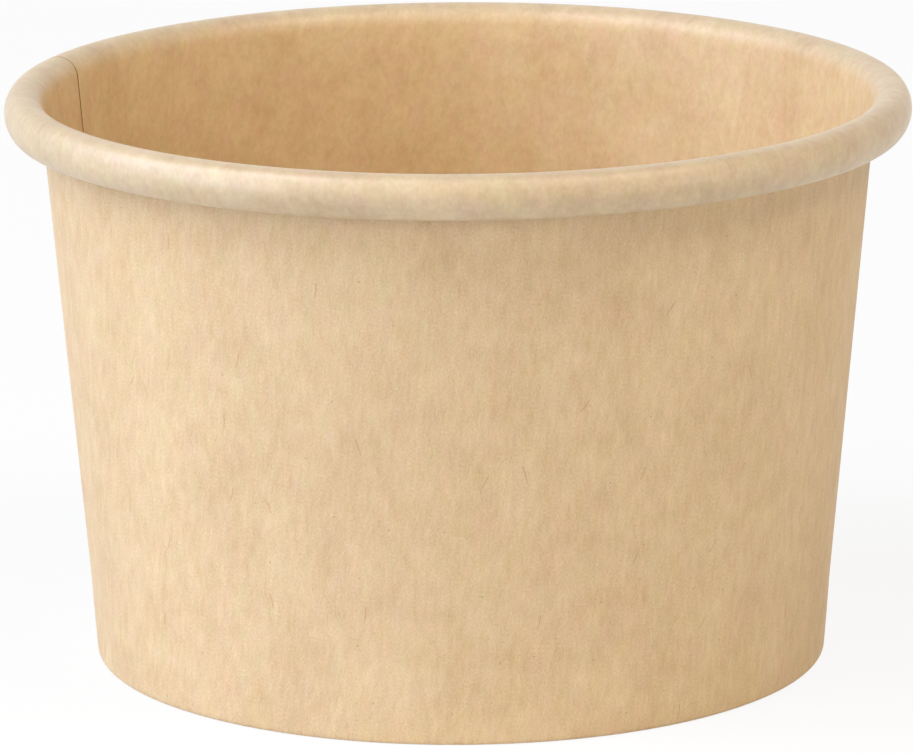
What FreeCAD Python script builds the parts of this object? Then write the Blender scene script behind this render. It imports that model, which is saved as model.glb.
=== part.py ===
"""Kraft paper portion cup with a rolled rim: a wrapped side wall and a pressed bottom disc, in millimetres.

The cup is made of two pieces of paperboard.

side_wall  One die-cut blank. It is wrapped into a cone whose ends lap, and the lap is sealed. The top edge
           is rolled outwards into a bead. The foot is folded inwards and up again as a hem, and a knurled
           tool has spread that hem a little wider than the cone.
base_disc  A flat disc with its edge drawn down into a skirt. The skirt stands between the wall and the hem.

Both are turned forms of one board thickness. So each is drawn as a single open line, the face of the board
that lies on the forming tool, and the board grows from that line by its own thickness. Radii run along a
sketch's x, heights along its y. The cup stands on z = 0 with its axis on Z.
"""
import FreeCAD, Part
import math
import os
import PartDesign
import Sketcher

V = FreeCAD.Vector
START, END, CENTRE = 1, 2, 3  # the points of a sketched line or arc
RADIUS_AXIS, HEIGHT_AXIS = -1, -2  # a sketch's own axes, which meet in its origin
UPWARDS = 90.0  # directions in a sketch, in degrees anticlockwise from straight out
INWARDS = 180.0
DOWNWARDS = 270.0
SAME_PLACE = 0.001  # mm, what two shapes may lie apart and still count as touching

# ---------------------------------------------------------------- driving sizes

SIZES = [
    # overall
    ("rim_diameter", 90.0, "across the outside of the rolled rim, the size a lid is made for"),
    ("base_diameter", 73.0, "the wall's cone, outside, where it reaches the table"),
    ("cup_height", 57.5, "table to the crown of the rim"),
    # paperboard
    ("board", 0.4, "thickness of the wall's board"),
    ("disc_board", 0.35, "thickness of the disc's board"),
    ("seal_gap", 0.02, "room between two sealed paper faces, filled by the coating"),
    # rolled rim
    ("curl_width", 4.0, "inside of the wall to the outside of the rim"),
    ("curl_height", 4.25, "crown of the rim to its underside"),
    ("shoulder_radius", 2.15, "where the wall leans over into the rim"),
    ("crown_radius", 1.3, "tight turn on top"),
    ("side_radius", 2.75, "slack side of the rim"),
    ("under_radius", 1.0, "tight turn underneath"),
    ("tuck_from", 35.0, "where the board runs straight on from it, in degrees past its lowest point"),
    ("tuck_gap", 0.25, "between the tucked edge and the lapped wall"),
    # foot and hem
    ("hem_spread", 0.13, "how far the closing tool spreads the foot outside the wall's cone"),
    ("band_rise", 0.65, "from the floor up to the top of the spread band"),
    ("band_blend", 40.0, "radius of the soft bend from the spread band into the cone"),
    ("fold_radius", 0.1, "inside radius of the two bends of the foot"),
    ("hem_clear", 1.0, "from the hem's raw edge up to the underside of the floor"),
    # bottom disc
    ("floor_recess", 7.0, "table to the underside of the floor"),
    ("floor_bend", 0.75, "outside radius where the floor turns down into the skirt"),
    ("skirt_clear", 0.35, "from the inside of the foot's fold up to the skirt's lower edge"),
    # side seam
    ("seam_azimuth", 159.5, "where the inner end of the blank lies, anticlockwise from +X, in degrees"),
    ("lap_angle", 10.5, "how far the outer end of the blank runs on over the inner one, in degrees"),
    ("ramp_angle", 1.8, "the board's step outwards on to the lap, in degrees"),
    ("notch", 0.4, "from the foot's fold up to the lap, whose corner is cut off to keep the fold thin"),
    ("lap_bury", 0.4, "from the lap's lower end up to the groove that the step leaves inside"),
]

DERIVED = [
    ("rim_radius", "=rim_diameter / 2", "outermost radius"),
    ("foot_radius", "=base_diameter / 2", "the cone's outside at the table"),
    ("curl_middle", "=cup_height - curl_height / 2", "height of the rim's widest point"),
    ("cone_run", "=rim_radius - curl_width - foot_radius", "from the foot's outside to the rim's inside"),
    ("cone_angle", "=atan(cone_run / curl_middle) + asin(board / sqrt(cone_run ^ 2 + curl_middle ^ 2))",
     "lean of the wall from upright"),
    ("hem_band", "=floor_recess + disc_board + band_rise", "height of the spread band"),
    ("band_angle", "=atan(tan(cone_angle) - hem_spread / hem_band)", "lean of the spread band from upright"),
    ("spread_foot", "=foot_radius + hem_spread", "outside radius of the spread foot at the table"),
    ("hem_gap", "=disc_board + 2 * seal_gap", "room for the skirt between the wall and the hem"),
    ("hem_height", "=floor_recess - hem_clear", "table to the raw edge of the hem"),
    ("floor_level", "=floor_recess + disc_board", "table to the top of the floor"),
    ("skirt_start", "=board + skirt_clear", "table to the skirt's lower edge"),
    ("lap_start", "=board + fold_radius + notch", "table to the lower end of the lap"),
    ("groove_start", "=lap_start + lap_bury", "table to the lower end of the groove"),
    ("tuck_reach", "=rim_radius - curl_width + 2 * board + tuck_gap", "innermost radius of the tucked edge"),
]


def make_sheet(doc):
    sheet = doc.addObject("Spreadsheet::Sheet", "dims")
    for row, (alias, value, note) in enumerate(SIZES + DERIVED, start=1):
        sheet.set(f"A{row}", alias)
        sheet.set(f"B{row}", str(value))
        sheet.setAlias(f"B{row}", alias)
        sheet.set(f"C{row}", note)
    doc.recompute()
    return sheet


doc = FreeCAD.newDocument("portion_cup")
dims = make_sheet(doc)


def size(expression):
    """The present value of an expression over the sheet, in millimetres or degrees."""
    value = dims.evalExpression(expression)
    return float(getattr(value, "Value", value))


mm = {alias: size(f"dims.{alias}") for alias, _, _ in SIZES + DERIVED}


# ---------------------------------------------------------------- sketching one board line

def origin_feature(body, role):
    return next(feature for feature in body.Origin.OriginFeatures if feature.Role == role)


def make_body(name):
    body = doc.addObject("PartDesign::Body", name)
    body.Label = name
    body.Placement = FreeCAD.Placement()
    doc.recompute()
    return body


def towards(degrees):
    return V(math.cos(math.radians(degrees)), math.sin(math.radians(degrees)), 0)


def direction(start, end):
    return math.degrees(math.atan2(end.y - start.y, end.x - start.x))


class BoardLine:
    """A sketch on a half-plane through the axis, of straight and round stretches that run smoothly on."""

    def __init__(self, body, name, azimuth):
        self.sketch = body.newObject("Sketcher::SketchObject", name)
        self.sketch.AttachmentSupport = [(origin_feature(body, "XZ_Plane"), "")]
        self.sketch.MapMode = "FlatFace"
        turn = FreeCAD.Rotation(V(0, 1, 0), size(azimuth))
        self.sketch.AttachmentOffset = FreeCAD.Placement(V(), turn)
        self.sketch.setExpression("AttachmentOffset.Rotation.Angle", azimuth)
        self.starts = []  # each stretch's first point and heading
        self.last = None

    def line(self, start, end):
        index = self.sketch.addGeometry(Part.LineSegment(start, end), False)
        self.starts.append((start, direction(start, end)))
        return self._join(index, START, END)

    def arc(self, centre, radius, start, end):
        """An arc drawn from one direction to another, as seen from its centre."""
        low, high = sorted((math.radians(start), math.radians(end)))
        circle = Part.Circle(centre, V(0, 0, 1), size(radius))
        index = self.sketch.addGeometry(Part.ArcOfCircle(circle, low, high), False)
        quarter = 90 if end > start else -90
        self.starts.append((centre + towards(start) * size(radius), start + quarter))
        self._join(index, *((START, END) if end > start else (END, START)))
        self.bind("Radius", (index,), radius)
        return index

    def _join(self, index, first, final):
        if self.last is not None:
            self.rule("Tangent", *self.last, index, first)
        self.last = (index, final)
        return index

    def far_side(self, distance):
        """The point that lies this far from the board line's start, to the right of the way it is drawn."""
        start, heading = self.starts[self.kept[0]]
        return self.sketch.Placement.multVec(start + towards(heading - 90) * distance)

    def rule(self, kind, *references):
        self.sketch.addConstraint(Sketcher.Constraint(kind, *references))

    def bind(self, kind, references, expression):
        """Give a size to the sketch and tie it to the sheet."""
        value = size(expression)
        if kind == "Angle":
            value = math.radians(value)
        index = self.sketch.addConstraint(Sketcher.Constraint(kind, *references, value))
        self.sketch.setExpression(f"Constraints[{index}]", expression)

    def height(self, index, place, expression):
        self.bind("DistanceY", (RADIUS_AXIS, START, index, place), expression)

    def radius(self, index, place, expression):
        self.bind("DistanceX", (RADIUS_AXIS, START, index, place), expression)

    def table_point(self, expression):
        """A construction point on the table at a radius."""
        index = self.sketch.addGeometry(Part.Point(V(size(expression), 0, 0)), True)
        self.radius(index, START, expression)
        self.rule("PointOnObject", index, START, RADIUS_AXIS)
        return index

    def keep(self, kept):
        """Leave the other stretches as construction lines, so that only these make the board."""
        self.kept = kept
        for index in range(len(self.starts)):
            if index not in kept:
                self.sketch.setConstruction(index, True)
        doc.recompute()
        return self


def leaning_line(foot, angle, height, inset):
    """A point at a height on a line that lies inside a face, where the face leans outwards from its foot."""
    slope = math.radians(angle)
    return V(foot + height * math.tan(slope) - inset / math.cos(slope), height, 0)


def on_band(height, inset):
    return leaning_line(mm["spread_foot"], mm["band_angle"], height, inset)


def on_cone(height, inset):
    return leaning_line(mm["foot_radius"], mm["cone_angle"], height, inset)


def beside(centre, reach, level):
    """The point at a level and at a distance from a centre, on its outer side."""
    return V(centre.x + math.sqrt(reach ** 2 - (level - centre.y) ** 2), level, 0)


# ---------------------------------------------------------------- sections of board

def offset(body, name, line, source, distance, filled, probe):
    """A line moved to the far side of its board, or the strip up to there. A probe finds the far side."""
    binder = body.newObject("PartDesign::SubShapeBinder", name)
    binder.Support = [(source, "")]
    binder.OffsetOpenResult = True
    binder.OffsetFill = filled
    for side in ("", "-"):
        binder.setExpression("Offset", f"{side}{distance}")
        doc.recompute()
        if not binder.Shape.isNull():
            miss = binder.Shape.distToShape(Part.Vertex(line.far_side(probe)))[0]
            if miss < SAME_PLACE:
                return binder
    raise RuntimeError(f"{name} has no board on its far side")


def board_section(body, name, line, thickness="dims.board"):
    """The cut face of the board that lies on a line."""
    return offset(body, name, line, line.sketch, thickness, True, size(thickness) / 2)


def outer_board_section(body, name, line):
    """The cut face of a second board that lies on the far side of the first."""
    board = size("dims.board")
    first = offset(body, name + "_face", line, line.sketch, "dims.board", False, board)
    return offset(body, name, line, first, "dims.board", True, board * 3 / 2)


def turn(body, name, section, angle, clockwise=False):
    """The section turned about the cup's axis."""
    feature = body.newObject("PartDesign::Revolution", name)
    feature.Profile = section
    feature.ReferenceAxis = (origin_feature(body, "Z_Axis"), [""])
    feature.Reversed = clockwise
    feature.setExpression("Angle", angle)
    doc.recompute()
    return feature


# ---------------------------------------------------------------- side wall

def foot_centres():
    """Centres of the foot's two bends and of the soft bend above the spread band."""
    level = mm["board"] + mm["fold_radius"]
    hem_fold = on_band(level, mm["board"] + mm["hem_gap"] - mm["fold_radius"])
    wall_fold = on_band(level, mm["board"] + mm["fold_radius"])
    inset = mm["board"] - mm["band_blend"]
    apart = on_cone(0, inset).x - on_band(0, inset).x
    closing = math.tan(math.radians(mm["band_angle"])) - math.tan(math.radians(mm["cone_angle"]))
    return hem_fold, wall_fold, on_cone(apart / closing, inset)


def rim_centres():
    """Centres of the rim's four turns: shoulder, crown, slack side and underside."""
    side = V(mm["rim_radius"] - mm["side_radius"], mm["curl_middle"], 0)
    crown = beside(side, mm["side_radius"] - mm["crown_radius"], mm["cup_height"] - mm["crown_radius"])
    under_level = mm["cup_height"] - mm["curl_height"] + mm["under_radius"]
    under = beside(side, mm["side_radius"] - mm["under_radius"], under_level)

    up_the_cone = towards(UPWARDS - mm["cone_angle"])
    out_of_cone = towards(-mm["cone_angle"])
    base = on_cone(0, mm["board"] - mm["shoulder_radius"])
    across = (crown - base).dot(out_of_cone)
    below_crown = math.sqrt((mm["shoulder_radius"] - mm["crown_radius"]) ** 2 - across ** 2)
    shoulder = base + up_the_cone * ((crown - base).dot(up_the_cone) - below_crown)

    return shoulder, crown, side, under


def wall_line(body, name, azimuth, wanted):
    """The wall's inner face, from the hem's raw edge round the foot, up the cone and round the rim."""
    board = mm["board"]
    fold = mm["fold_radius"]
    cone = -mm["cone_angle"]
    band = -mm["band_angle"]
    hem_fold, wall_fold, blend = foot_centres()
    shoulder, crown, side, under = rim_centres()

    draft = BoardLine(body, name, azimuth)
    hem = draft.line(on_band(mm["hem_height"], board + mm["hem_gap"]),
                     hem_fold + towards(INWARDS + band) * fold)
    draft.arc(hem_fold, "dims.fold_radius", INWARDS + band, DOWNWARDS)
    foot = draft.line(V(hem_fold.x, board, 0), V(wall_fold.x, board, 0))
    draft.arc(wall_fold, "dims.fold_radius", DOWNWARDS, 360 + band)
    band_foot = draft.line(wall_fold + towards(band) * fold, on_band(mm["lap_start"], board))
    band_joint = draft.line(on_band(mm["lap_start"], board), on_band(mm["groove_start"], board))
    draft.line(on_band(mm["groove_start"], board), blend + towards(INWARDS + band) * mm["band_blend"])
    draft.arc(blend, "dims.band_blend", INWARDS + band, INWARDS + cone)
    cone_line = draft.line(blend + towards(INWARDS + cone) * mm["band_blend"],
                           shoulder + towards(INWARDS + cone) * mm["shoulder_radius"])
    draft.arc(shoulder, "dims.shoulder_radius", INWARDS + cone, direction(shoulder, crown))
    crown_arc = draft.arc(crown, "dims.crown_radius", direction(shoulder, crown), direction(side, crown))
    side_arc = draft.arc(side, "dims.side_radius", direction(side, crown), direction(side, under))
    under_end = -UPWARDS - mm["tuck_from"]
    under_arc = draft.arc(under, "dims.under_radius", direction(side, under), under_end)
    tuck_start = under + towards(under_end) * mm["under_radius"]
    tuck_way = towards(INWARDS - mm["tuck_from"])
    tuck = draft.line(tuck_start, tuck_start + tuck_way * ((mm["tuck_reach"] - tuck_start.x) / tuck_way.x))

    foot_point = draft.table_point("dims.foot_radius")
    spread_point = draft.table_point("dims.spread_foot")
    draft.height(hem, START, "dims.hem_height")
    draft.rule("Parallel", hem, band_foot)
    draft.bind("Distance", (spread_point, START, hem), "dims.board + dims.hem_gap")
    draft.rule("Horizontal", foot)
    draft.height(foot, START, "dims.board")
    draft.bind("Angle", (band_foot,), "90 deg - dims.band_angle")
    draft.bind("Distance", (spread_point, START, band_foot), "dims.board")
    draft.height(band_foot, END, "dims.lap_start")
    draft.height(band_joint, END, "dims.groove_start")
    draft.bind("Angle", (cone_line,), "90 deg - dims.cone_angle")
    draft.bind("Distance", (foot_point, START, cone_line), "dims.board")
    draft.height(crown_arc, CENTRE, "dims.cup_height - dims.crown_radius")
    draft.height(side_arc, CENTRE, "dims.curl_middle")
    draft.radius(side_arc, CENTRE, "dims.rim_radius - dims.side_radius")
    draft.height(under_arc, CENTRE, "dims.cup_height - dims.curl_height + dims.under_radius")
    draft.bind("Angle", (tuck,), "(180 - dims.tuck_from) * 1 deg")
    draft.radius(tuck, END, "dims.tuck_reach")

    stretches = {
        "whole": range(hem, tuck + 1),
        "hem": range(hem, band_joint + 1),
        "lap": range(band_joint, tuck + 1),
    }
    return draft.keep(stretches[wanted])


def make_side_wall():
    """The blank goes once round, steps outwards over its own inner end, and runs on as the outer flap."""
    body = make_body("side_wall")
    seam = "dims.seam_azimuth * 1 deg"
    ramp_foot = "(dims.seam_azimuth + dims.ramp_angle) * 1 deg"

    once_round = board_section(body, "wall_section", wall_line(body, "wall_line", ramp_foot, "whole"))
    turn(body, "once_round", once_round, "360 deg - dims.ramp_angle * 1 deg")

    hem = board_section(body, "hem_section", wall_line(body, "hem_line", seam, "hem"))
    turn(body, "hem_across_seam", hem, "dims.ramp_angle * 1 deg")

    ramp_low = board_section(body, "ramp_section", wall_line(body, "ramp_line", ramp_foot, "lap"))
    lap = outer_board_section(body, "lap_section", wall_line(body, "lap_line", seam, "lap"))
    ramp = body.newObject("PartDesign::AdditiveLoft", "ramp")
    ramp.Profile = ramp_low
    ramp.Sections = [(lap, [""])]
    ramp.Ruled = True
    doc.recompute()
    turn(body, "outer_flap", lap, "dims.lap_angle * 1 deg", clockwise=True)
    return body


# ---------------------------------------------------------------- bottom disc

def disc_line(body, name):
    """The top face of the disc from the axis to the bend, and the outer face of its skirt."""
    inset = mm["board"] + mm["seal_gap"]
    bend = mm["floor_bend"]
    band = -mm["band_angle"]
    bend_centre = on_band(mm["floor_level"] - bend, inset + bend)

    draft = BoardLine(body, name, "0 deg")
    floor = draft.line(V(0, mm["floor_level"], 0), V(bend_centre.x, mm["floor_level"], 0))
    draft.arc(bend_centre, "dims.floor_bend", UPWARDS, band)
    skirt = draft.line(bend_centre + towards(band) * bend, on_band(mm["skirt_start"], inset))

    spread_point = draft.table_point("dims.spread_foot")
    draft.rule("PointOnObject", floor, START, HEIGHT_AXIS)
    draft.rule("Horizontal", floor)
    draft.height(floor, START, "dims.floor_level")
    draft.bind("Angle", (skirt,), "-90 deg - dims.band_angle")
    draft.bind("Distance", (spread_point, START, skirt), "dims.board + dims.seal_gap")
    draft.height(skirt, END, "dims.skirt_start")
    return draft.keep(range(floor, skirt + 1))


def make_base_disc():
    """A flat floor with its edge drawn down into a skirt, which leans with the spread band of the wall."""
    body = make_body("base_disc")
    section = board_section(body, "disc_section", disc_line(body, "disc_line"), thickness="dims.disc_board")
    turn(body, "disc", section, "360 deg")
    return body


# ---------------------------------------------------------------- build, check and export

def check(pieces):
    for item in doc.Objects:
        if "Invalid" in item.State or "Error" in item.State:
            raise RuntimeError(f"{item.Name} failed: {item.State}")
        if item.isDerivedFrom("Sketcher::SketchObject") and not item.FullyConstrained:
            raise RuntimeError(f"{item.Name} is not fully constrained")
    for piece in pieces:
        if piece.Shape.isNull() or not piece.Shape.isValid() or len(piece.Shape.Solids) != 1:
            raise RuntimeError(f"{piece.Label} is not one valid solid")


def export(pieces):
    os.makedirs("parts", exist_ok=True)
    for piece in pieces:
        piece.Shape.exportStep(f"parts/{piece.Label}.step")
        print(f"{piece.Label}: {piece.Shape.Volume:.1f} mm3, {len(piece.Shape.Faces)} faces")


pieces = [make_side_wall(), make_base_disc()]
doc.recompute()
check(pieces)
export(pieces)
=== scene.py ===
# %% [markdown]
# # A portion cup of kraft paperboard
#
# The cup is two pieces of paperboard. The side wall is one die-cut blank, wrapped into a cone whose ends lap
# and are sealed. Its top edge is rolled outwards into a rim, and its foot is folded inwards and up again over
# the skirt of a pressed bottom disc. This lesson wraps and presses both pieces the way the cup machine does.
#
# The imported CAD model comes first.

# %% Load the fixed frame
import math

import bmesh
import bpy
from mathutils import Matrix, Quaternion, Vector


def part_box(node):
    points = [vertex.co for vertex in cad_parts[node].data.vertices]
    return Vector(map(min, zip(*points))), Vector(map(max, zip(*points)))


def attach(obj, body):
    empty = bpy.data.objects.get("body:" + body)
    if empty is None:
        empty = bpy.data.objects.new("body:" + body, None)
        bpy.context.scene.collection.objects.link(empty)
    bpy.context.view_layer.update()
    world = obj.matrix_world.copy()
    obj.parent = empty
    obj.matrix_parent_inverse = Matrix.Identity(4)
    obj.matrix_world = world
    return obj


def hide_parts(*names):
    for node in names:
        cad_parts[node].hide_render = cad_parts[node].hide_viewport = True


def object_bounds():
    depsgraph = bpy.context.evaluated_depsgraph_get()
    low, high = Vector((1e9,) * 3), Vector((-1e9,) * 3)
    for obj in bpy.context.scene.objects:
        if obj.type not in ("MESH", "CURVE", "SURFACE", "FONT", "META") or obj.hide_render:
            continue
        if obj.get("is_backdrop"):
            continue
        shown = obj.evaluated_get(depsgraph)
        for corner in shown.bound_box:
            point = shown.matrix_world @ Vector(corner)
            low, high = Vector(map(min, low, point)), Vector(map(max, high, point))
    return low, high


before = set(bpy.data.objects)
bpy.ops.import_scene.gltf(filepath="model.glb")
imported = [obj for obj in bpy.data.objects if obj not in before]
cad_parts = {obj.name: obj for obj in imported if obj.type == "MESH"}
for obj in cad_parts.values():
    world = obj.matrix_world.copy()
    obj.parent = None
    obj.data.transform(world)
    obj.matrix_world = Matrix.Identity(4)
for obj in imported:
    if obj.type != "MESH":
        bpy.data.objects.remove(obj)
cad_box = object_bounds()
print("CAD nodes:", sorted(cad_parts))

# %% [markdown]
# ## Sizes
#
# The sizes that the two nodes already hold are read from their boxes. Everything is drawn in millimetres, and
# a finished mesh is brought to metres in one step.

# %% Sizes from the frame
MM = 0.001

_, wall_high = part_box("side_wall")
_, disc_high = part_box("base_disc")

CUP_HEIGHT = round(wall_high.z / MM, 1)
RIM_RADIUS = round(wall_high.x / MM, 1)
FLOOR_TOP = round(disc_high.z / MM, 2)
print(f"cup {2 * RIM_RADIUS} mm across and {CUP_HEIGHT} mm high, floor {FLOOR_TOP} mm up")

# %% [markdown]
# The rest are the cup maker's own sizes, in millimetres and degrees. A cup of this size is made of board a
# little under half a millimetre thick. Where two faces are sealed, only the film that melts between them
# keeps them apart.

# %% Board and cone
BASE_RADIUS = 36.5  # the wall's cone where it reaches the table
WALL_BOARD = 0.4
DISC_BOARD = 0.35
SEAL_GAP = 0.02  # between two sealed faces
TOUCHING = SEAL_GAP / 4  # corners nearer than this are one corner
print(f"the cone is {2 * BASE_RADIUS} mm across at the table")

# %% [markdown]
# The rim is rolled in four turns that run into each other: the shoulder, where the wall leans over, the tight
# crown, the slack outer side and a tight turn underneath. From there the raw edge runs straight inwards and
# up, almost to the wall.

# %% Rim
CURL_WIDTH = 4.0  # inside of the wall to the outside of the rim
CURL_HEIGHT = 4.25
SHOULDER_RADIUS = 2.15
CROWN_RADIUS = 1.3
SIDE_RADIUS = 2.75
UNDER_RADIUS = 1.0
TUCK_FROM = 35.0  # degrees past the lowest point of the rim
TUCK_GAP = 0.25  # kept free beside the lapped wall
print(f"the rim is {CURL_WIDTH} mm wide and {CURL_HEIGHT} mm deep")

# %% [markdown]
# The foot is folded inwards and up into a hem, round the skirt of the bottom disc. The tool that closes the
# hem spreads it a little. So the lowest band of the wall stands steeper than the cone above, and a very wide
# bend joins the two.

# %% Foot
HEM_SPREAD = 0.13  # how far the foot is spread outside the cone
BAND_TOP = FLOOR_TOP + 0.65
BAND_BLEND = 40.0  # radius of the bend between the band and the cone
FOLD_RADIUS = 0.1
HEM_HEIGHT = FLOOR_TOP - DISC_BOARD - 1.0  # its raw edge stays a millimetre below the floor
FLOOR_BEND = 0.75
SKIRT_FOOT = WALL_BOARD + 0.35  # clear of the fold below it
print(f"the foot is {2 * (BASE_RADIUS + HEM_SPREAD):.2f} mm across, its hem {HEM_HEIGHT:.2f} mm high")

# %% [markdown]
# The two ends of the blank lap at the seam. The inner end lies at the seam's azimuth, which is counted from
# the x axis, anticlockwise seen from above. The blank runs clockwise from there, once round and on over its
# own start. The lap begins a little above the fold of the foot.

# %% Lap
SEAM_AZIMUTH = 159.5
LAP_ANGLE = 10.5
RAMP_ANGLE = 1.8  # beside each cut end, where the board gives way to the lap
LAP_FOOT = WALL_BOARD + FOLD_RADIUS + 0.4  # up to here the foot closes on itself
LAP_FULL = LAP_FOOT + 0.4  # and from here up the wall laps
print(f"the lap is {RIM_RADIUS * math.radians(LAP_ANGLE):.1f} mm wide at the rim")

# %% [markdown]
# ## Drawing a board line
#
# Paperboard has the same thickness everywhere, so each piece is drawn as one line in section: the face of the
# board that lies on the forming tool. The line grows from a single corner. A straight stretch is an extrusion
# and a bend is a spin about its own centre, so the curves are true arcs without a list of points.

# %% Drawing helpers
def towards(degrees):
    """A unit step in the section, where x runs outwards and z upwards."""
    return Vector((math.cos(math.radians(degrees)), 0.0, math.sin(math.radians(degrees))))


def bearing(start, end):
    """The direction from one point of the section to another, in degrees."""
    return math.degrees(math.atan2(end.z - start.z, end.x - start.x))


def run(board, corner, goal, rows=1):
    """Extends the board line straight to a goal."""
    step = (goal - corner.co) / rows
    for _ in range(rows):
        corner = bmesh.ops.extrude_vert_indiv(board, verts=[corner])["verts"][0]
        bmesh.ops.translate(board, verts=[corner], vec=step)
    return corner


def bend(board, corner, centre, degrees, rows):
    """Rolls the board line round a centre, anticlockwise where the angle is positive."""
    rolled = bmesh.ops.spin(
        board, geom=[corner], cent=centre, axis=(0, -1, 0), angle=math.radians(degrees), steps=rows
    )
    return rolled["geom_last"][0]


# %% [markdown]
# ## The wall's line
#
# The wall leans 5 degrees from upright, and 4 degrees round the spread hem. Any point of the board is given
# by its height and by how far it lies inside the outer face, so the same two leaning lines place the wall,
# the hem and the skirt.

# %% Leaning lines
curl_middle = CUP_HEIGHT - CURL_HEIGHT / 2
cone_run = RIM_RADIUS - CURL_WIDTH - BASE_RADIUS
cone_lean = math.degrees(
    math.atan(cone_run / curl_middle) + math.asin(WALL_BOARD / math.hypot(cone_run, curl_middle))
)
band_lean = math.degrees(math.atan(math.tan(math.radians(cone_lean)) - HEM_SPREAD / BAND_TOP))


def leaning(foot, lean, height, inset):
    """The point at a height on a line that lies inside a leaning face."""
    slope = math.radians(lean)
    return Vector((foot + height * math.tan(slope) - inset / math.cos(slope), 0.0, height))


def on_band(height, inset=WALL_BOARD):
    """A point of the spread band round the hem, on the wall's inner face unless an inset is given."""
    return leaning(BASE_RADIUS + HEM_SPREAD, band_lean, height, inset)


def on_cone(height, inset=WALL_BOARD):
    """A point of the cone above the band, on the wall's inner face unless an inset is given."""
    return leaning(BASE_RADIUS, cone_lean, height, inset)


print(f"wall leans {cone_lean:.2f} degrees, spread foot {band_lean:.2f}")

# %% [markdown]
# The centres of the rim's four turns follow from the sizes, because each turn runs smoothly into the next:
# where two turns meet, their centres and the meeting point lie on one line. The slack side touches the
# rim's full width, the crown its top and the under turn its underside. The shoulder touches the wall.

# %% Centres of the rim's turns
def beside(centre, reach, level):
    """The point at a level and at a distance from a centre, on its outer side."""
    return Vector((centre.x + math.sqrt(reach**2 - (level - centre.z) ** 2), 0.0, level))


side = Vector((RIM_RADIUS - SIDE_RADIUS, 0.0, curl_middle))
crown = beside(side, SIDE_RADIUS - CROWN_RADIUS, CUP_HEIGHT - CROWN_RADIUS)
under = beside(side, SIDE_RADIUS - UNDER_RADIUS, CUP_HEIGHT - CURL_HEIGHT + UNDER_RADIUS)

shoulder_base = on_cone(0.0, WALL_BOARD - SHOULDER_RADIUS)
across = (crown - shoulder_base).dot(towards(-cone_lean))
drop = math.sqrt((SHOULDER_RADIUS - CROWN_RADIUS) ** 2 - across**2)
up_the_wall = towards(90 - cone_lean)
shoulder = shoulder_base + up_the_wall * ((crown - shoulder_base).dot(up_the_wall) - drop)
print(f"the shoulder turns about a point {shoulder.z:.1f} mm above the table")

# %% [markdown]
# The line starts at the hem's raw edge inside the foot. It runs down, turns twice round the skirt of the
# bottom disc, climbs the band round the hem and then the cone, and rolls over the rim until the raw edge is
# tucked up underneath. Every stretch is given the rows of faces that its curve needs.

# %% Draw the wall's line
def draw_wall_line(board):
    """Draws the wall's inner face in section, from the edge of the hem to the edge of the rim."""
    gap = DISC_BOARD + 2 * SEAL_GAP
    level = WALL_BOARD + FOLD_RADIUS
    hem_fold = on_band(level, WALL_BOARD + gap - FOLD_RADIUS)
    wall_fold = on_band(level, WALL_BOARD + FOLD_RADIUS)
    outside = WALL_BOARD - BAND_BLEND
    apart = on_cone(0, outside).x - on_band(0, outside).x
    opening = math.tan(math.radians(band_lean)) - math.tan(math.radians(cone_lean))
    blend = on_cone(apart / opening, outside)
    tuck_way = towards(180 - TUCK_FROM)
    tuck_reach = RIM_RADIUS - CURL_WIDTH + 2 * WALL_BOARD + TUCK_GAP

    corner = board.verts.new(on_band(HEM_HEIGHT, WALL_BOARD + gap))
    corner = run(board, corner, hem_fold + towards(180 - band_lean) * FOLD_RADIUS, rows=7)
    corner = bend(board, corner, hem_fold, 90 + band_lean, rows=5)
    corner = run(board, corner, Vector((wall_fold.x, 0.0, WALL_BOARD)))
    corner = bend(board, corner, wall_fold, 90 - band_lean, rows=5)
    corner = run(board, corner, on_band(LAP_FOOT))
    corner = run(board, corner, on_band(LAP_FULL))
    corner = run(board, corner, blend + towards(180 - band_lean) * BAND_BLEND, rows=10)
    corner = bend(board, corner, blend, band_lean - cone_lean, rows=2)
    corner = run(board, corner, shoulder + towards(180 - cone_lean) * SHOULDER_RADIUS, rows=18)
    corner = bend(board, corner, shoulder, bearing(shoulder, crown) - (180 - cone_lean), rows=9)
    corner = bend(board, corner, crown, bearing(side, crown) - bearing(shoulder, crown), rows=6)
    corner = bend(board, corner, side, bearing(side, under) - bearing(side, crown), rows=12)
    corner = bend(board, corner, under, -90 - TUCK_FROM - bearing(side, under), rows=7)
    run(board, corner, corner.co + tuck_way * ((tuck_reach - corner.co.x) / tuck_way.x), rows=2)


# %% [markdown]
# ## Wrapping a line round the mandrel
#
# The line is wrapped in small turns. Each corner keeps how far it was turned and how far along the line it
# lies. Those two numbers are its place on the flat blank. They later give the paper pattern its own map, and
# tell which part of the blank laps over which.

# %% Keep a corner's place on the blank
def new_board():
    """An empty mesh whose corners can keep their place on the flat blank."""
    board = bmesh.new()
    for name in ("turned", "along"):
        board.verts.layers.float.new(name)
    return board


def measure_along(board):
    """Gives each corner of a drawn line its distance along the line, counted from the fold at the foot."""
    along = board.verts.layers.float["along"]
    corners = list(board.verts)
    lengths = [0.0]
    for first, second in zip(corners, corners[1:]):
        lengths.append(lengths[-1] + (second.co - first.co).length)

    # the line runs down the hem first, so the last corner near the table is where the wall leaves the fold
    near_table = corners[0].co.z / 10
    fold_end = max(distance for corner, distance in zip(corners, lengths) if corner.co.z < near_table)
    for corner, distance in zip(corners, lengths):
        corner[along] = distance - fold_end
    return lengths[-1]


# %% [markdown]
# A spin sweeps the line into a strip of faces and hands back the line's new place, which the next spin
# starts from. The strips are not all as wide. A stretch is so many degrees, and how many strips it is cut
# into.

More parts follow.
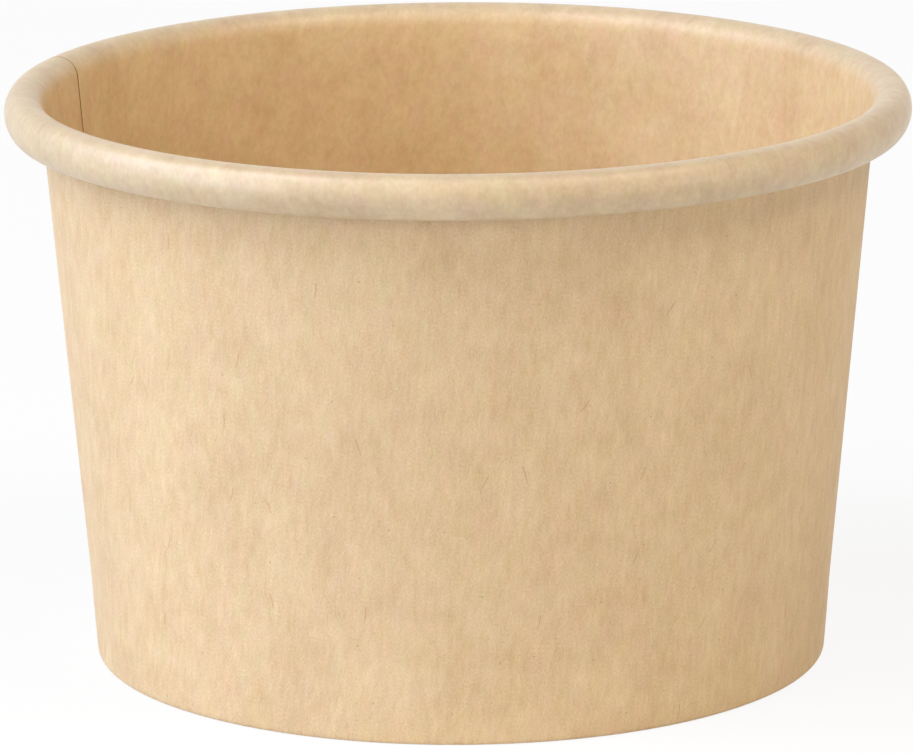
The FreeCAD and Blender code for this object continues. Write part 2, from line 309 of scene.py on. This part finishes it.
# %% Wrap a line into a sheet
def wrap(board, stretches):
    """Turns the line about the axis, clockwise from the seam, by (degrees, steps) stretches."""
    turned = board.verts.layers.float["turned"]
    ring = list(board.verts) + list(board.edges)
    seam = Matrix.Rotation(math.radians(SEAM_AZIMUTH), 3, "Z")
    bmesh.ops.rotate(board, verts=list(board.verts), cent=(0, 0, 0), matrix=seam)
    total = 0.0
    for degrees, steps in stretches:
        for _ in range(steps):
            step = degrees / steps
            total += step
            spun = bmesh.ops.spin(
                board, geom=ring, cent=(0, 0, 0), axis=(0, 0, 1), angle=-math.radians(step), steps=1
            )
            ring = spun["geom_last"]
            for part in ring:
                if isinstance(part, bmesh.types.BMVert):
                    part[turned] = total


# %% [markdown]
# Finished board is brought to metres and gets its thickness from a Solidify modifier. The sheet is the face
# that lay on the tool, so the board grows from its back. Separate slots keep the coated face, the outer face
# and the raw cut edge apart, as they look different on real board.

# %% Turn a sheet into a piece
def make_piece(name, board, thickness, materials):
    """Makes an object of a sheet. The materials are for the tool's side, the other side and the cut edge."""
    bmesh.ops.scale(board, vec=(MM, MM, MM), verts=list(board.verts))
    mesh = bpy.data.meshes.new(name)
    board.to_mesh(mesh)
    board.free()
    for polygon in mesh.polygons:
        polygon.use_smooth = True
    for material in materials:
        mesh.materials.append(material)
    piece = bpy.data.objects.new(name, mesh)
    bpy.context.scene.collection.objects.link(piece)
    solid = piece.modifiers.new("board_thickness", "SOLIDIFY")
    solid.thickness = thickness * MM
    solid.offset = -1.0
    solid.use_quality_normals = True
    solid.material_offset = 1
    solid.material_offset_rim = 2
    print(f"{name}: {len(mesh.polygons)} faces before its thickness")
    return piece


# %% [markdown]
# ## Colours and nodes
#
# Colours are written as the hex values that a screen shows, and one function turns them into the linear
# values that light is computed with. One small helper adds a node, sets it up and links it. A node can be
# handed to it in place of a value, and then the output that the node has switched on is linked.
#
# A Mix node has a set of sockets for each kind of value. With colours, 0 is the share of the second colour,
# and 6 and 7 are the two colours.

# %% Colour and node helpers
def linear(code):
    """The linear colour of an sRGB hex code."""
    channels = [int(code[place:place + 2], 16) / 255 for place in (1, 3, 5)]
    return tuple(c / 12.92 if c <= 0.04045 else ((c + 0.055) / 1.055) ** 2.4 for c in channels) + (1.0,)


def add_node(tree, kind, inputs, **settings):
    """Adds a node with its settings, and gives each of its sockets a value or a link."""
    node = tree.nodes.new(kind)
    for setting, value in settings.items():
        setattr(node, setting, value)
    for socket, value in inputs.items():
        if isinstance(value, bpy.types.Node):
            value = next(output for output in value.outputs if output.enabled)
        if isinstance(value, bpy.types.NodeSocket):
            tree.links.new(value, node.inputs[socket])
        else:
            node.inputs[socket].default_value = value
    return node


# %% [markdown]
# ## How kraft paper looks
#
# Kraft pulp is not bleached, so the sheet is tan and not quite even. Held close it shows soft clouds where
# the pulp lies thicker, upright streaks along the grain, and a fine felt of fibres. Each is an even spread of
# marks, stretched along the grain and laid out on the flat blank in millimetres. The finest marks are about
# 0.15 mm, so they are drawn several times as wide as a real fibre, which would not show.

# %% An even spread of marks
def mottle(tree, blank, across, along, halvings, seed):
    """Marks around a half, so many mm across and along the grain. Each halving adds some half the size."""
    size = (1 / across, 1 / along, 1.0)
    place = {"Vector": blank, "Location": (seed, seed, 0.0), "Scale": size}
    laid = add_node(tree, "ShaderNodeMapping", place)
    return add_node(
        tree, "ShaderNodeTexNoise", {"Vector": laid, "Scale": 1.0, "Detail": halvings, "Roughness": 1.0}
    )


def add_up(tree, marks):
    """One tone around a half from marks and how much each of them counts."""
    total = 0.5 - 0.5 * sum(strength for _, strength in marks)
    for mark, strength in marks:
        total = add_node(tree, "ShaderNodeMath", {0: mark, 1: strength, 2: total}, operation="MULTIPLY_ADD")
    return total


# %% [markdown]
# Fibres and slivers of bark that are large enough to be seen one by one lie apart from each other. The blank
# is divided into cells, and a cell may hold one short bowed stroke. The cell's random colour settles how the
# stroke is turned and whether it is there at all. The paper machine draws the pulp out, so most strokes lie
# near the grain.

# %% Fibres and slivers
STRAY = 0.8  # how freely a stroke's middle strays in its cell, where 1 is quite at random
BOW = 0.25  # with this, the ends of a stroke lie a sixteenth of its length to one side


def strew(tree, blank, cell, length, width, sway, share, seed):
    """Strokes turned up to a sway in degrees from the grain, one in a share of the cells. Sizes are in mm."""
    scaled = {"Vector": blank, "Location": (seed, seed, 0.0), "Scale": (1 / cell, 1 / cell, 1.0)}
    place = add_node(tree, "ShaderNodeMapping", scaled)
    cells = add_node(
        tree, "ShaderNodeTexVoronoi", {"Vector": place, "Scale": 1.0, "Randomness": STRAY},
        voronoi_dimensions="2D",
    )
    chance = add_node(tree, "ShaderNodeSeparateColor", {"Color": cells.outputs["Color"]})

    # the way from the stroke's middle, in mm, turned so that y runs along the stroke
    off = add_node(
        tree, "ShaderNodeVectorMath", {0: place, 1: cells.outputs["Position"]}, operation="SUBTRACT"
    )
    off = add_node(tree, "ShaderNodeVectorMath", {0: off, "Scale": cell}, operation="SCALE")
    turn = add_node(
        tree, "ShaderNodeMapRange",
        {"Value": chance.outputs["Red"], "To Min": -math.radians(sway), "To Max": math.radians(sway)},
    )
    off = add_node(
        tree, "ShaderNodeVectorRotate", {"Vector": off, "Angle": turn}, rotation_type="Z_AXIS"
    )
    off = add_node(tree, "ShaderNodeSeparateXYZ", {"Vector": off})

    # strongest on the bowed middle line, and fading to both sides
    bow = add_node(tree, "ShaderNodeMath", {0: off.outputs["Y"], 1: 2.0}, operation="POWER")
    bow = add_node(tree, "ShaderNodeMath", {0: bow, 1: BOW / length}, operation="MULTIPLY")
    across = add_node(tree, "ShaderNodeMath", {0: off.outputs["X"], 1: bow}, operation="SUBTRACT")
    across = add_node(tree, "ShaderNodeMath", {0: across}, operation="ABSOLUTE")
    thin = add_node(
        tree, "ShaderNodeMapRange", {"Value": across, "From Max": width, "To Min": 1.0, "To Max": 0.0},
        interpolation_type="SMOOTHSTEP",
    )

    # fading towards both ends
    lengthways = add_node(tree, "ShaderNodeMath", {0: off.outputs["Y"]}, operation="ABSOLUTE")
    short = add_node(
        tree, "ShaderNodeMapRange",
        {"Value": lengthways, "From Min": length / 4, "From Max": length / 2, "To Min": 1.0, "To Max": 0.0},
        interpolation_type="SMOOTHSTEP",
    )
    there = add_node(tree, "ShaderNodeMath", {0: chance.outputs["Green"], 1: share}, operation="LESS_THAN")
    stroke = add_node(tree, "ShaderNodeMath", {0: thin, 1: short}, operation="MULTIPLY")
    return add_node(tree, "ShaderNodeMath", {0: stroke, 1: there}, operation="MULTIPLY")


# %% [markdown]
# ## The finishes of the board
#
# The outer face is bare machine-finished kraft: matt, with all its fibres showing. The inner face, which also
# rolls over to the outside of the rim, is coated with a thin clear film against grease. The film gives it a
# soft gloss, deepens the colour and softens the fibres under it.
#
# One recipe serves both. Clouds and felt shift the sheet between two tans, a slow drift of hue keeps it from
# being one tan made darker and lighter, and the strokes lie on top. The same marks raise the paper a little.

# %% Kraft faces
PULP_RELIEF = 0.1  # mm between the thinnest and the thickest of the pulp


def make_kraft(name, tans, marks, hues, strokes, roughness, gloss, relief):
    """Unbleached board. tans are its two shades, and marks, hues and strokes say what shows on it.
    The tone of its pulp, 0 where it lies thin and 1 where it lies thick, is handed back as well."""
    material = bpy.data.materials.new(name)
    material.use_nodes = True
    tree = material.node_tree
    shader = tree.nodes["Principled BSDF"]
    blank = add_node(tree, "ShaderNodeUVMap", {}, uv_map="blank")

    pulp = add_up(tree, [(mottle(tree, blank, *size), strength) for *size, strength in marks])
    colour = add_node(
        tree, "ShaderNodeMix", {0: pulp, 6: linear(tans[0]), 7: linear(tans[1])}, data_type="RGBA"
    )
    for *size, strength in hues:
        drift = mottle(tree, blank, *size).outputs["Color"]
        colour = add_node(
            tree, "ShaderNodeMix", {0: strength, 6: colour, 7: drift}, data_type="RGBA", blend_type="OVERLAY"
        )
    for *shape, strength, shade in strokes:
        shown = strew(tree, blank, *shape)
        shown = add_node(tree, "ShaderNodeMath", {0: shown, 1: strength}, operation="MULTIPLY")
        colour = add_node(
            tree, "ShaderNodeMix", {0: shown, 6: colour, 7: linear(shade)}, data_type="RGBA"
        )

    raised = {"Height": pulp, "Strength": relief, "Distance": PULP_RELIEF * MM}
    bump = add_node(tree, "ShaderNodeBump", raised)
    tree.links.new(colour.outputs[2], shader.inputs["Base Color"])
    tree.links.new(bump.outputs[0], shader.inputs["Normal"])
    shader.inputs["Roughness"].default_value = roughness
    shader.inputs["Specular IOR Level"].default_value = gloss
    print(f"{name}: {len(tree.nodes)} nodes")
    return material, pulp


# %% [markdown]
# Marks are given as mm across, mm along, halvings, seed and strength. Strokes are given as cell, length,
# width, sway, share, seed, strength and shade. Bare paper is rougher than the film and mirrors less.

# %% Bare and coated kraft
bare_kraft, _ = make_kraft(
    "kraft_bare_machine_finished", tans=("#BD9E75", "#DDC4A0"),
    marks=(
        (9.0, 16.0, 3.0, 3.0, 1.05),
        (0.7, 2.8, 1.0, 8.0, 0.55),
        (0.17, 0.25, 0.0, 5.0, 0.6),
    ),
    hues=(
        (2.0, 5.0, 2.0, 31.0, 0.09),
    ),
    strokes=(
        (1.1, 1.0, 0.06, 30.0, 0.6, 11.0, 0.16, "#8A6640"),
        (1.0, 0.9, 0.06, 30.0, 0.6, 23.0, 0.14, "#F6E6CC"),
        (8.0, 2.0, 0.10, 35.0, 0.4, 37.0, 0.40, "#9A5A28"),
        (6.0, 0.3, 0.09, 90.0, 0.25, 61.0, 0.50, "#5F4A30"),
    ),
    roughness=0.62, gloss=0.38, relief=0.25,
)
coated_kraft, coated_pulp = make_kraft(
    "kraft_film_coated", tans=("#C7A375", "#E6CCA2"),
    marks=(
        (9.0, 14.0, 3.0, 13.0, 1.2),
        (0.8, 1.1, 1.0, 18.0, 0.6),
        (0.2, 0.3, 0.0, 9.0, 0.2),
    ),
    hues=(
        (2.5, 4.0, 2.0, 41.0, 0.12),
    ),
    strokes=(
        (1.6, 1.2, 0.08, 40.0, 0.5, 47.0, 0.14, "#8A6640"),
        (1.7, 1.1, 0.08, 40.0, 0.5, 53.0, 0.12, "#F2DCB8"),
    ),
    roughness=0.52, gloss=0.5, relief=0.1,
)

# %% [markdown]
# Rolling the rim stretches the film and presses it on the die. The rim's colour is tinted greyer and a little
# bluer, most where the pulp lies thin, so the clouds show more on the rim than inside the cup. This tint is
# partly the stretched film's own tone and partly a painted sheen, which stands in for the white light that
# the film's gloss reflects. The die leaves it smoother, and the coat's real gloss along the crown lets the
# eye see how round the rim is. The side wall later says where it is rolled, and the coated face reads it.

# %% Stretched film and painted sheen on the rim
# partly the stretched film's greyer tone, partly a painted sheen for the light that the film's gloss reflects
RIM_FILM_TINT_AND_PAINTED_SHEEN = "#DBE0EA"
PULP_HIDES = 0.4  # how much of the tint the thickest pulp keeps off
STRETCHED_ROUGHNESS = 0.45

tree = coated_kraft.node_tree
shader = tree.nodes["Principled BSDF"]
flat_colour = shader.inputs["Base Color"].links[0].from_socket
rolled = add_node(tree, "ShaderNodeAttribute", {}, attribute_name="rolled").outputs["Fac"]
thin = add_node(tree, "ShaderNodeMath", {0: coated_pulp, 1: -PULP_HIDES, 2: 1.0}, operation="MULTIPLY_ADD")
share = add_node(tree, "ShaderNodeMath", {0: thin, 1: rolled}, operation="MULTIPLY")
# the rim's tint: partly the stretched film's own tone, partly a painted sheen, strongest where the pulp is
# thin
greyed_with_painted_sheen = add_node(
    tree, "ShaderNodeMix", {0: share, 6: flat_colour, 7: linear(RIM_FILM_TINT_AND_PAINTED_SHEEN)}, data_type="RGBA",
    blend_type="MULTIPLY",
)
tree.links.new(greyed_with_painted_sheen.outputs[2], shader.inputs["Base Color"])
tree.links.new(rolled, shader.inputs["Coat Weight"])
shader.inputs["Coat Roughness"].default_value = STRETCHED_ROUGHNESS
print(f"{coated_kraft.name}: {len(tree.nodes)} nodes with the stretched film")

# %% [markdown]
# Where the board is cut, its edge is open pulp: darker, because light goes in between the fibres and is lost,
# and uneven along the sheet. It reads Object coordinates, as the cut runs across the blank's map, and its
# marks are about 2 mm.

# %% Cut edge
cut_edge = bpy.data.materials.new("kraft_die_cut_edge")
cut_edge.use_nodes = True
tree = cut_edge.node_tree
shader = tree.nodes["Principled BSDF"]
place = add_node(tree, "ShaderNodeTexCoord", {}).outputs["Object"]
layers = {"Vector": place, "Scale": 0.5 / MM, "Detail": 4.0, "Roughness": 0.8}
pulp = add_node(tree, "ShaderNodeTexNoise", layers)
colour = add_node(
    tree, "ShaderNodeMix", {0: pulp, 6: linear("#8A623C"), 7: linear("#B98F62")}, data_type="RGBA"
)
tree.links.new(colour.outputs[2], shader.inputs["Base Color"])
shader.inputs["Roughness"].default_value = 0.9
print(f"{cut_edge.name}: {len(tree.nodes)} nodes")

# %% [markdown]
# ## The side wall
#
# The blank starts at the seam, goes once round, climbs over its own start and ends as the outer flap of the
# lap. The strips stand closer together near both cut ends, where the board is squeezed and steps on to the
# lap. Each stretch is given as its degrees and its strips.

# %% Wrap the side wall
CUT_WIDTH = 0.6  # degrees of the closest strips beside a cut end
BESIDE_CUT = [(CUT_WIDTH, 4), (RAMP_ANGLE, 3)]
ONCE_ROUND = [(360 - 2 * RAMP_ANGLE - CUT_WIDTH, 237), (RAMP_ANGLE - CUT_WIDTH, 4), (CUT_WIDTH, 6)]
FLAP = [(LAP_ANGLE - 2 * (RAMP_ANGLE + CUT_WIDTH), 4), (RAMP_ANGLE, 3), (CUT_WIDTH, 4)]
WALL_WRAP = BESIDE_CUT + ONCE_ROUND + BESIDE_CUT + FLAP

wall = new_board()
draw_wall_line(wall)
print(f"the blank is {measure_along(wall):.1f} mm deep")
wrap(wall, WALL_WRAP)
print(f"wrapped sheet: {len(wall.faces)} faces")

# %% [markdown]
# A knurled tool has pressed the hem against the skirt and left slanted ridges round the foot. They need finer
# strips than the plain cone, so only the rings of that band are subdivided. The new corners lie on straight
# chords, and are put back on the circle.

# %% Finer strips round the foot
KNURL_FOOT = 0.85  # mm above the table
FINER = 4

turned = wall.verts.layers.float["turned"]
along = wall.verts.layers.float["along"]
reach = wall.verts.layers.float.new("reach")
for corner in wall.verts:
    corner[reach] = corner.co.xy.length


def in_band(corner):
    return KNURL_FOOT < corner.co.z < BAND_TOP


def on_one_ring(edge):
    first, second = edge.verts
    return abs(first[along] - second[along]) < SEAL_GAP


rings = [edge for edge in wall.edges if on_one_ring(edge) and all(map(in_band, edge.verts))]
bmesh.ops.subdivide_edges(wall, edges=rings, cuts=FINER - 1, use_grid_fill=True)
for corner in wall.verts:
    corner.co.xy = corner.co.xy.normalized() * corner[reach]
print(f"with fine strips: {len(wall.faces)} faces")

# %% [markdown]
# The paper's own map is the flat blank in millimetres: a cone's wall unrolls into part of a flat ring, whose
# radius is the distance from the cone's tip. The blank is cut with its middle along the grain, so the map is
# upright there. A pattern laid out on it wraps with the board, as real fibres do.

# %% Map the sheet as its flat blank
cone_tip = BASE_RADIUS / math.sin(math.radians(cone_lean))
blank_middle = (360 + LAP_ANGLE) / 2
blank_map = wall.loops.layers.uv.new("blank")
for face in wall.faces:
    for loop in face.loops:
        spread = math.radians(loop.vert[turned] - blank_middle) * math.sin(math.radians(cone_lean))
        radius = cone_tip + loop.vert[along]
        loop[blank_map].uv = (radius * math.sin(spread), radius * math.cos(spread) - cone_tip)
print(f"the foot unrolls to a radius of {cone_tip:.0f} mm")

# %% [markdown]
# The knurls and the lap are small moves of the corners along their own normals, and each of them fades in and
# out softly. The knurls lean the way the cup was turned under the tool. Their waves run up with a slant, so
# the azimuth of a ridge slides with its height.

# %% Knurls
KNURLS = 160
KNURL_DEPTH = 0.02  # mm to either side
KNURL_LEAN = 26.0  # degrees from upright
KNURL_FULL = (2.0, 5.0)  # mm above the table, where the ridges are fully pressed
KNURL_TOP = 7.4


def smooth(low, high, value):
    """0 below low, 1 above high, and a soft climb between them."""
    share = min(max((value - low) / (high - low), 0.0), 1.0)
    return share * share * (3 - 2 * share)


def knurl(corner):
    """How far the knurled tool moves a corner of the foot, in or out."""
    height = corner.co.z
    fade = smooth(KNURL_FOOT, KNURL_FULL[0], height) * (1 - smooth(KNURL_FULL[1], KNURL_TOP, height))
    slide = height * math.tan(math.radians(KNURL_LEAN)) / BASE_RADIUS
    azimuth = math.radians(SEAM_AZIMUTH - corner[turned])
    return KNURL_DEPTH * fade * math.sin(KNURLS * (azimuth - slide))


print(f"ridges {math.tau * BASE_RADIUS / KNURLS:.2f} mm apart")

# %% [markdown]
# The hot jaw that seals the lap squeezes the board thin towards its inner cut end, so only a narrow groove is
# left inside the cup, and rolling the rim irons that groove out. The outer cut end is squeezed much less.
# Where the blank climbs on to its own start, it stands out by what is left of the board below it and by the
# width of the seal.

# %% The squeezed and ironed lap
JAW_SQUEEZE = 0.34  # mm off the board at a cut end of the wall
RIM_SQUEEZE = 0.36  # mm off the board at a cut end of the rim
FLAP_EASE = 3  # times less squeezed at the outer cut end
SINK = 0.04  # mm that the inner face gives way
RAMP_FOOT = 0.8  # degrees that the wall takes to climb on to the lap
RAMP_RIM = CUT_WIDTH / 3  # degrees that the rim takes
IRON_FADE = (0.5, 2.0)  # mm before and after the start of the rim
SQUEEZE_FADE = 2.0  # mm above the foot of the lap


def laps(corner):
    """Says whether a corner lies above the notch that keeps the foot's fold thin."""
    return corner[along] > 0 and corner.co.z > (LAP_FOOT + LAP_FULL) / 2


def ironed(corner):
    """0 on the wall, and 1 from where the rim leans over."""
    rim_start = (CUP_HEIGHT - SHOULDER_RADIUS) / math.cos(math.radians(cone_lean))
    return smooth(rim_start - IRON_FADE[0], rim_start + IRON_FADE[1], corner[along])


def squeezed(corner, cut):
    """How much thinner the board is, growing towards a cut end."""
    beside_cut = 1 - smooth(0.0, RAMP_ANGLE + CUT_WIDTH, abs(corner[turned] - cut))
    deepest = JAW_SQUEEZE + (RIM_SQUEEZE - JAW_SQUEEZE) * ironed(corner)
    return deepest * beside_cut * smooth(LAP_FULL, LAP_FULL + SQUEEZE_FADE, corner[along])


def sunk(corner, cut):
    """How far the board's inner face gives way under the jaw, growing towards a cut end."""
    return SINK * squeezed(corner, cut) / JAW_SQUEEZE * (1 - ironed(corner))


def lifted(corner):
    """How far the blank stands out where it climbs on to its own start."""
    width = RAMP_FOOT + (RAMP_RIM - RAMP_FOOT) * ironed(corner)
    board_below = WALL_BOARD - squeezed(corner, 360.0) + sunk(corner, 360.0)
    return smooth(360 - width, 360, corner[turned]) * (board_below + SEAL_GAP)


print(f"board left at the inner cut end: {WALL_BOARD - JAW_SQUEEZE:.2f} mm")

# %% [markdown]
# All the moves are worked out before any corner is moved, so that none of them changes the next. Each corner
# also keeps how much thinner its board is and how far it is rolled, for the thickness and for the film.

# %% Work out the moves
bmesh.ops.recalc_face_normals(wall, faces=list(wall.faces))
wall.normal_update()
thinned = wall.verts.layers.float.new("thinned")
rolled = wall.verts.layers.float.new("rolled")
moves = []
for corner in wall.verts:
    move = knurl(corner)
    corner[rolled] = ironed(corner)
    if laps(corner):
        corner[thinned] = squeezed(corner, 0.0) + squeezed(corner, 360 + LAP_ANGLE) / FLAP_EASE
        move -= lifted(corner) + sunk(corner, 0.0)
    moves.append(corner.normal * move)
print(f"moves up to {max(move.length for move in moves):.2f} mm")

# %% [markdown]
# The blank's lower corner is cut away, so that the fold of the foot stays thin. There the sheet closes on
# itself, and only the wall above it laps. So the faces of that corner go, and the two ends of the foot are
# welded.

# %% Cut the notch and close the foot
AT_CUT = 1e-3  # degrees

lower_corner = [
    face for face in wall.faces
    if min(vert[turned] for vert in face.verts) > 360 - AT_CUT and not all(map(laps, face.verts))
]
closing = [
    vert for vert in wall.verts
    if not laps(vert) and min(vert[turned], abs(vert[turned] - 360)) < AT_CUT
]
for corner, move in zip(wall.verts, moves):
    corner.co += move
bmesh.ops.delete(wall, geom=lower_corner, context="FACES")
closing = [vert for vert in closing if vert.is_valid]
bmesh.ops.remove_doubles(wall, verts=closing, dist=TOUCHING)
bmesh.ops.recalc_face_normals(wall, faces=list(wall.faces))
cut_edges = sum(1 for edge in wall.edges if edge.is_boundary)
print(f"side wall sheet: {len(wall.faces)} faces, {cut_edges} cut edges")

# %% [markdown]
# The sheet becomes the side wall. Its thickness follows a vertex group, which says what share of the board
# is left in each place.

# %% The side wall
side_wall = make_piece("cup_wall", wall, WALL_BOARD, [coated_kraft, bare_kraft, cut_edge])
board_left = side_wall.vertex_groups.new(name="board_left")
for number, corner in enumerate(side_wall.data.attributes["thinned"].data):
    board_left.add([number], 1 - corner.value / WALL_BOARD, "REPLACE")
side_wall.modifiers["board_thickness"].vertex_group = board_left.name
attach(side_wall, "root")
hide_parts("side_wall")

# %% [markdown]
# ## The bottom disc
#
# The floor is a disc pressed into a shallow lid: a flat floor, a small bend and a skirt that stands between
# the wall and the hem. Its line starts on the axis, so the full spin closes there as well as at its seam. The
# flat blank is a plain disc, so its map is the view from above.

# %% Press the bottom disc
floor_inset = WALL_BOARD + SEAL_GAP
bend_centre = on_band(FLOOR_TOP - FLOOR_BEND, floor_inset + FLOOR_BEND)

disc = new_board()
corner = disc.verts.new((0.0, 0.0, FLOOR_TOP))
corner = run(disc, corner, Vector((bend_centre.x, 0.0, FLOOR_TOP)), rows=24)
corner = bend(disc, corner, bend_centre, -(90 + band_lean), rows=6)
run(disc, corner, on_band(SKIRT_FOOT, floor_inset), rows=4)
bmesh.ops.spin(
    disc, geom=list(disc.verts) + list(disc.edges), cent=(0, 0, 0), axis=(0, 0, 1), angle=math.tau,
    steps=180, use_merge=True,
)
bmesh.ops.remove_doubles(disc, verts=list(disc.verts), dist=TOUCHING)
bmesh.ops.recalc_face_normals(disc, faces=list(disc.faces))
disc_map = disc.loops.layers.uv.new("blank")
for face in disc.faces:
    for loop in face.loops:
        loop[disc_map].uv = loop.vert.co.xy
base_disc = make_piece("cup_base", disc, DISC_BOARD, [coated_kraft, bare_kraft, cut_edge])
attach(base_disc, "root")
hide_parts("base_disc")

# %% [markdown]
# ## The camera
#
# The cup is seen from a little above, through a long lens that keeps its sides almost straight. The camera
# looks almost at the middle of the cup and hangs a third of a degree askew, as a camera on a stand often
# does. There is no lens shift and no blur.

# %% Camera
ELEVATION = 13.789  # degrees above the table
DISTANCE = 0.70486  # m
AIM_HEIGHT = 0.027  # m
LENS = 277.2  # mm on a 36 mm sensor
PAN = 0.0248  # degrees
TILT = 0.0437
ROLL = -0.334

towards_camera = Vector((0.0, -math.cos(math.radians(ELEVATION)), math.sin(math.radians(ELEVATION))))
look = (-towards_camera).to_track_quat("-Z", "Y")
look = look @ Quaternion((0.0, 1.0, 0.0), math.radians(PAN))
look = look @ Quaternion((1.0, 0.0, 0.0), math.radians(TILT))
look = look @ Quaternion((0.0, 0.0, 1.0), math.radians(ROLL))

camera = bpy.data.objects.new("camera", bpy.data.cameras.new("camera"))
camera.data.sensor_width = 36.0
camera.data.lens = LENS
camera.data.clip_end = 10.0
camera.location = Vector((0.0, 0.0, AIM_HEIGHT)) + towards_camera * DISTANCE
camera.rotation_mode = "QUATERNION"
camera.rotation_quaternion = look
bpy.context.scene.collection.objects.link(camera)
bpy.context.scene.camera = camera
print(f"camera at {tuple(round(value, 3) for value in camera.location)}")

# %% [markdown]
# ## The floor and the background
#
# The cup stands on white paper in front of white. Both must look white without throwing more light on the
# cup. So rays that show them to the eye, straight, in a gloss or through something clear, find plain white.
# Rays that carry light to the cup find a matt white sheet and an almost dark room.

# %% Rays that show
def shown_rays(tree):
    """1 for rays that show a thing to the eye, and 0 for rays that carry light on to another surface."""
    path = add_node(tree, "ShaderNodeLightPath", {})
    shown = {0: path.outputs["Is Camera Ray"], 1: path.outputs["Is Glossy Ray"]}
    shown = add_node(tree, "ShaderNodeMath", shown, operation="MAXIMUM")
    shown = {0: shown, 1: path.outputs["Is Transmission Ray"]}
    return add_node(tree, "ShaderNodeMath", shown, operation="MAXIMUM")


# %% [markdown]
# The floor is matt white paper. Most of what it shows is plain white, and the rest is its own shading, which
# keeps the cup's soft shadow. It lies a hundredth of a millimetre low, so that it doesn't touch the foot.

# %% Floor
FLOOR_SHARE = 0.88  # how much of the floor is plain white to the eye
FLOOR_RADIUS = 3.0  # m
FLOOR_DROP = 0.01 * MM

backdrop_paper = bpy.data.materials.new("backdrop_paper_matt")
backdrop_paper.use_nodes = True
tree = backdrop_paper.node_tree
shader = tree.nodes["Principled BSDF"]
shader.inputs["Base Color"].default_value = linear("#EDEDED")
shader.inputs["Roughness"].default_value = 1.0
shader.inputs["Specular IOR Level"].default_value = 0.0
share = add_node(tree, "ShaderNodeMath", {0: shown_rays(tree), 1: FLOOR_SHARE}, operation="MULTIPLY")
glow = add_node(tree, "ShaderNodeEmission", {"Strength": 1.0})
mixed = add_node(tree, "ShaderNodeMixShader", {0: share, 1: shader, 2: glow})
tree.links.new(mixed.outputs[0], tree.nodes["Material Output"].inputs["Surface"])

sheet = bmesh.new()
bmesh.ops.create_circle(sheet, cap_ends=True, segments=64, radius=FLOOR_RADIUS)
bmesh.ops.translate(sheet, verts=list(sheet.verts), vec=(0.0, 0.0, -FLOOR_DROP))
floor_mesh = bpy.data.meshes.new("floor")
sheet.to_mesh(floor_mesh)
sheet.free()
floor_mesh.materials.append(backdrop_paper)
floor = bpy.data.objects.new("floor", floor_mesh)
bpy.context.scene.collection.objects.link(floor)
floor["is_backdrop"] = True
print(f"floor {2 * FLOOR_RADIUS} m across")

# %% [markdown]
# Past the floor the room is white to the eye, and gives the cup only a trace of even light.

# %% Room
ROOM = 0.04

room = bpy.data.worlds.new("studio")
bpy.context.scene.world = room
room.use_nodes = True
tree = room.node_tree
strength = add_node(
    tree, "ShaderNodeMapRange", {"Value": shown_rays(tree), "To Min": ROOM, "To Max": 1.0}
)
tree.nodes["Background"].inputs["Color"].default_value = (1.0, 1.0, 1.0, 1.0)
tree.links.new(strength.outputs[0], tree.nodes["Background"].inputs["Strength"])
print(f"room light {ROOM}")

# %% [markdown]
# ## The lamps
#
# Six round soft lamps stand round the cup, each 1.6 m away. Cool light comes from the left, high, middle and
# low, like a window's, and leaves the left of the cup pale. Warmer lamps stand on the right and in front,
# where the paper looks deeper. Little comes from straight ahead, so the rim shades the wall below its middle.

# %% Lamps
LAMP_SIZE = 0.8  # m
LAMP_DISTANCE = 1.6  # m


def add_lamp(name, azimuth, elevation, watts, colour):
    """A soft lamp aimed at the cup. Azimuth is counted from the front, to the right."""
    away = Matrix.Rotation(math.radians(azimuth), 3, "Z") @ Vector((
        0.0, -math.cos(math.radians(elevation)), math.sin(math.radians(elevation))
    ))
    lamp = bpy.data.objects.new(name, bpy.data.lights.new(name, "AREA"))
    lamp.data.shape = "DISK"
    lamp.data.size = LAMP_SIZE
    lamp.data.energy = watts
    lamp.data.color = colour
    lamp.location = Vector((0.0, 0.0, CUP_HEIGHT / 2 * MM)) + away * LAMP_DISTANCE
    lamp.rotation_mode = "QUATERNION"
    lamp.rotation_quaternion = away.to_track_quat("Z", "Y")
    bpy.context.scene.collection.objects.link(lamp)
    print(f"{name}: {watts} W")


add_lamp("left_high", -60, 55, 12.8, (0.94, 1.0, 1.07))
add_lamp("left_side", -90, 30, 9.8, (0.88, 1.0, 1.27))
add_lamp("left_low", -60, 8, 9.0, (0.90, 1.0, 1.18))
add_lamp("front", -30, 30, 4.8, (1.14, 1.0, 0.78))
add_lamp("right_high", 60, 55, 9.6, (1.12, 1.0, 0.81))
add_lamp("right_low", 60, 8, 6.9, (1.08, 1.0, 0.86))

# %% Finish
bpy.context.scene.view_settings.view_transform = "Standard"
built_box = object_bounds()
for name, box in (("packed", cad_box), ("built", built_box)):
    print(name, [[round(value / MM, 2) for value in corner] for corner in box])
